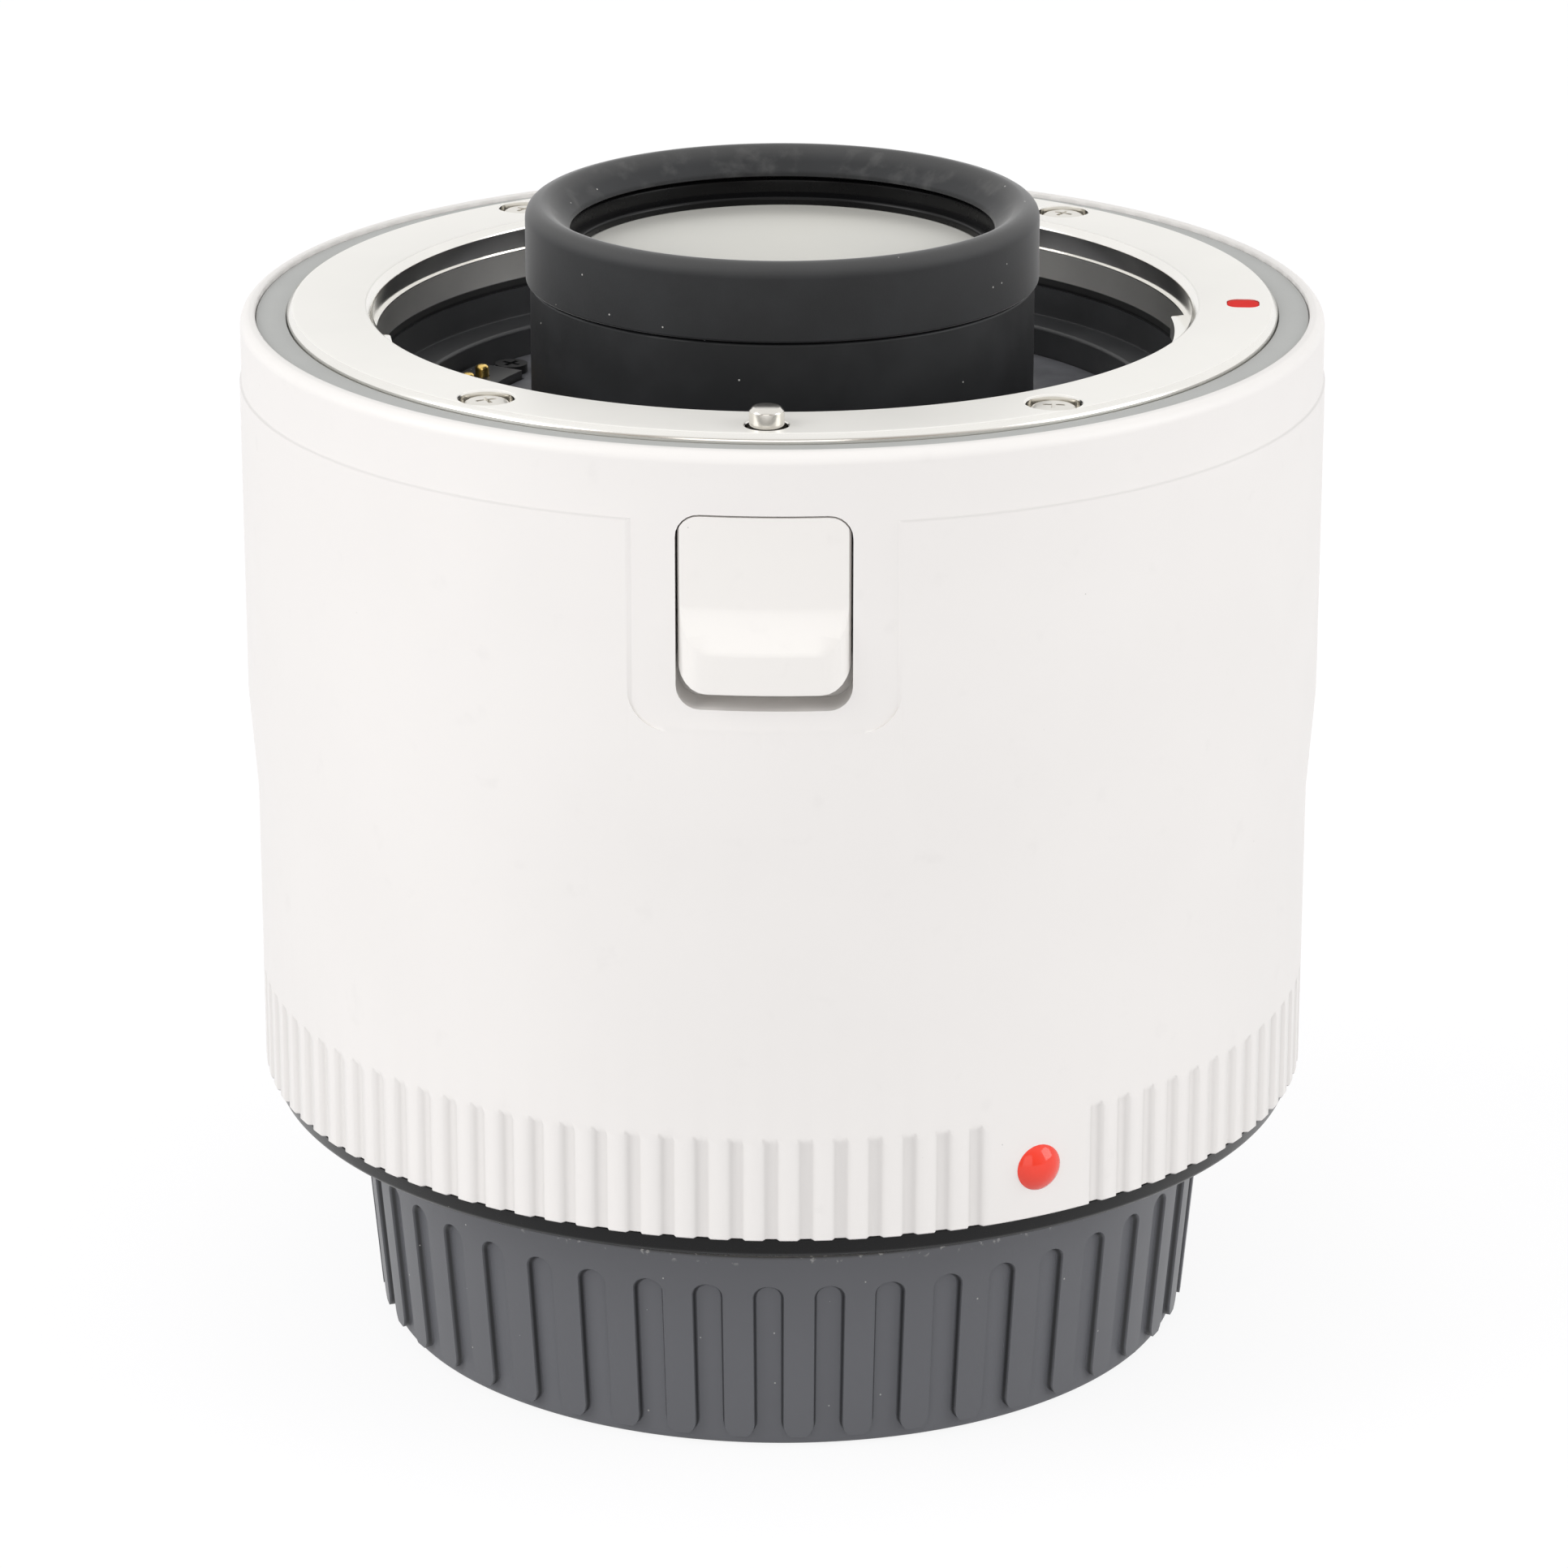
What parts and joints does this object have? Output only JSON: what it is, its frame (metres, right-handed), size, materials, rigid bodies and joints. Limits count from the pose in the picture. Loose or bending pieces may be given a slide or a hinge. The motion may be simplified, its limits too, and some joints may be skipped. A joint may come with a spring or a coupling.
{
  "type": "camera teleconverter",
  "caption": "White camera teleconverter: bayonet lens mount with lock pin and release button, inner lens barrel, grooved grip and a ribbed rear cap.",
  "frame": {"origin": "centre of the rear cap's base, on the optical axis", "axes": "+Z along the optical axis towards the lens side, -Y towards the release button, +X to the right of the button"},
  "size_m": [0.0718, 0.0726, 0.0772],
  "materials": {
    "white_paint": "satin",
    "white_button": "satin",
    "grey_trim": "matte",
    "mount_steel": "satin",
    "screw_steel": "satin",
    "spring_steel": "satin",
    "red_inlay": "gloss",
    "black_liner": "matte",
    "black_nose": "matte",
    "black_tube": "matte",
    "gloss_black": "gloss",
    "rubber": "matte",
    "lens_glass": "polished",
    "gold": "polished",
    "board": "satin",
    "flex": "satin",
    "cap_plastic": "matte"
  },
  "bodies": {
    "barrel": {"main_barrel": "white_paint", "trim_ring": "grey_trim", "front_mount_ring": "mount_steel", "front_mount_screws": "screw_steel", "front_index_mark": "red_inlay", "leaf_spring_plate": "spring_steel", "throat_liner": "black_liner", "throat_floor": "black_liner", "front_contact_block": "black_liner", "contact_block_screws": "screw_steel", "contact_springs": "spring_steel", "circuit_board": "board", "control_chip": "black_liner", "flex_cable": "flex", "front_barrel": "black_nose", "nose_clamp_ring": "black_tube", "front_bumper": "rubber", "front_retaining_ring": "black_nose", "lens_tube": "black_tube", "lens_tube_screws": "screw_steel", "lens_element_1": "lens_glass", "lens_element_2": "lens_glass", "lens_element_3": "lens_glass", "lens_element_4": "lens_glass", "lens_element_5": "lens_glass", "lens_element_6": "lens_glass", "lens_element_7": "lens_glass", "lens_element_8": "lens_glass", "lens_element_9": "lens_glass", "lens_spacer_1": "black_tube", "lens_spacer_2": "black_tube", "lens_spacer_3": "black_tube", "lens_spacer_4": "black_tube", "rear_retaining_ring": "black_tube", "rear_light_baffle": "black_liner", "rear_collar": "gloss_black", "rear_mount": "mount_steel", "rear_mount_screws": "screw_steel", "rear_contact_block": "black_liner", "rear_contact_pads": "gold", "rear_index_dome": "red_inlay", "release_spring": "spring_steel"},
    "release": {"release_button": "white_button", "release_carrier": "black_liner", "lock_pin": "screw_steel"},
    "cap": {"rear_cap": "cap_plastic"},
    "contact_1": {"contact_pin_1": "gold"},
    "contact_2": {"contact_pin_2": "gold"},
    "contact_3": {"contact_pin_3": "gold"},
    "contact_4": {"contact_pin_4": "gold"},
    "contact_5": {"contact_pin_5": "gold"},
    "contact_6": {"contact_pin_6": "gold"},
    "contact_7": {"contact_pin_7": "gold"},
    "contact_8": {"contact_pin_8": "gold"}
  },
  "joints": [
    {"name": "release_slide", "type": "slide", "parent": "barrel", "child": "release", "axis": [0, 0, -1], "range_m": [0, 0.0012], "stiffness_N_per_m": 800, "springref_m": -0.002, "deforming": ["release_spring"]},
    {"name": "cap_turn", "type": "hinge", "parent": "barrel", "child": "cap", "pos_m": [0, 0, 0], "axis": [0, 0, -1], "range_deg": [0, 60]},
    {"name": "contact_1_slide", "type": "slide", "parent": "barrel", "child": "contact_1", "axis": [0, 0, -1], "range_m": [0, 0.0007], "stiffness_N_per_m": 150, "springref_m": -0.001, "deforming": ["contact_springs"]},
    {"name": "contact_2_slide", "type": "slide", "parent": "barrel", "child": "contact_2", "axis": [0, 0, -1], "range_m": [0, 0.0007], "stiffness_N_per_m": 150, "springref_m": -0.001, "deforming": ["contact_springs"]},
    {"name": "contact_3_slide", "type": "slide", "parent": "barrel", "child": "contact_3", "axis": [0, 0, -1], "range_m": [0, 0.0007], "stiffness_N_per_m": 150, "springref_m": -0.001, "deforming": ["contact_springs"]},
    {"name": "contact_4_slide", "type": "slide", "parent": "barrel", "child": "contact_4", "axis": [0, 0, -1], "range_m": [0, 0.0007], "stiffness_N_per_m": 150, "springref_m": -0.001, "deforming": ["contact_springs"]},
    {"name": "contact_5_slide", "type": "slide", "parent": "barrel", "child": "contact_5", "axis": [0, 0, -1], "range_m": [0, 0.0007], "stiffness_N_per_m": 150, "springref_m": -0.001, "deforming": ["contact_springs"]},
    {"name": "contact_6_slide", "type": "slide", "parent": "barrel", "child": "contact_6", "axis": [0, 0, -1], "range_m": [0, 0.0007], "stiffness_N_per_m": 150, "springref_m": -0.001, "deforming": ["contact_springs"]},
    {"name": "contact_7_slide", "type": "slide", "parent": "barrel", "child": "contact_7", "axis": [0, 0, -1], "range_m": [0, 0.0007], "stiffness_N_per_m": 150, "springref_m": -0.001, "deforming": ["contact_springs"]},
    {"name": "contact_8_slide", "type": "slide", "parent": "barrel", "child": "contact_8", "axis": [0, 0, -1], "range_m": [0, 0.0007], "stiffness_N_per_m": 150, "springref_m": -0.001, "deforming": ["contact_springs"]}
  ]
}
